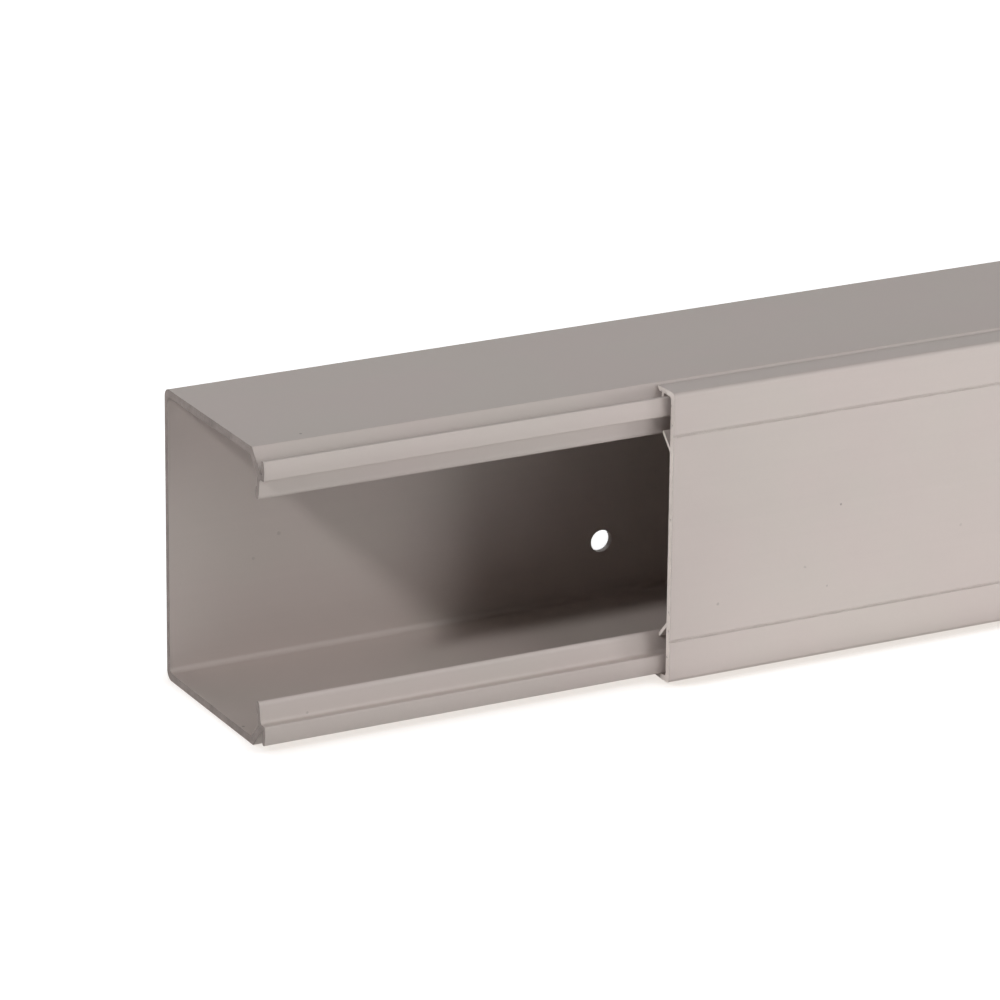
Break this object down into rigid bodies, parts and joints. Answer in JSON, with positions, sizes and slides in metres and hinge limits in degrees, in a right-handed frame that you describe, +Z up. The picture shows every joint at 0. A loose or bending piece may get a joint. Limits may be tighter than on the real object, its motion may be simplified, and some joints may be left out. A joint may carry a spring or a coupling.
{
  "type": "cable trunking",
  "caption": "Straight rectangular cable trunking with a clip-on cover that slides along the open channel and round fixing holes in its back wall.",
  "frame": {"origin": "middle of the outer face of the channel's lower side wall, on which the trunking stands", "axes": "+X along the length, from the open end to the covered end, +Y to the wall behind the channel, +Z up"},
  "size_m": [2.115, 0.062, 0.08],
  "materials": {
    "base_pvc": "stone grey extruded rigid PVC, matt",
    "cover_pvc": "stone grey extruded rigid PVC, matt with a slight sheen"
  },
  "bodies": {
    "channel": {"trunking_base": "base_pvc"},
    "cover": {"trunking_cover": "cover_pvc"}
  },
  "joints": [
    {"name": "cover_slide", "type": "slide", "parent": "channel", "child": "cover", "axis": [1, 0, 0], "range_m": [-0.115, 0.385]}
  ]
}
